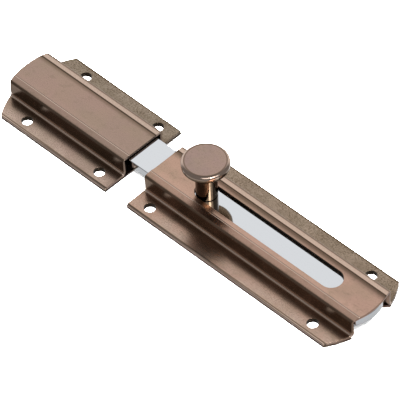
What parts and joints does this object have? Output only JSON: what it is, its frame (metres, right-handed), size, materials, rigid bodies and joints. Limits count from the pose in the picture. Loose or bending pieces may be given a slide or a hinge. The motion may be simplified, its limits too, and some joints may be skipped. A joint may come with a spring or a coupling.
{
  "type": "sliding door bolt",
  "caption": "Flat surface-mounted sliding door bolt: slotted sheet cover, flat bar moved by a mushroom knob, and a matching keep.",
  "frame": {"origin": "on the mounting face, under the middle of the whole object with the bolt thrown", "axes": "+X along the bar from the keep to the body, +Y across it, +Z out of the mounting face"},
  "size_m": [0.1774, 0.04, 0.026],
  "materials": {
    "antique_bronze": "brushed antique bronze plate on steel, rubbed lighter on edges",
    "bronzed_plate": "dark bronze plate on steel",
    "bright_plating": "bright nickel plate, mirror-like",
    "spring_steel": "plain bright steel"
  },
  "bodies": {
    "housing": {"body_cover": "antique_bronze", "body_base_plate": "bronzed_plate", "friction_spring": "spring_steel", "spring_rivet": "spring_steel", "keep_cover": "antique_bronze", "keep_base_plate": "bronzed_plate"},
    "bolt": {"bolt_bar": "bright_plating", "knob": "antique_bronze", "knob_screw": "spring_steel"}
  },
  "joints": [
    {"name": "bolt_slide", "type": "slide", "parent": "housing", "child": "bolt", "axis": [1, 0, 0], "range_m": [0, 0.062]}
  ]
}
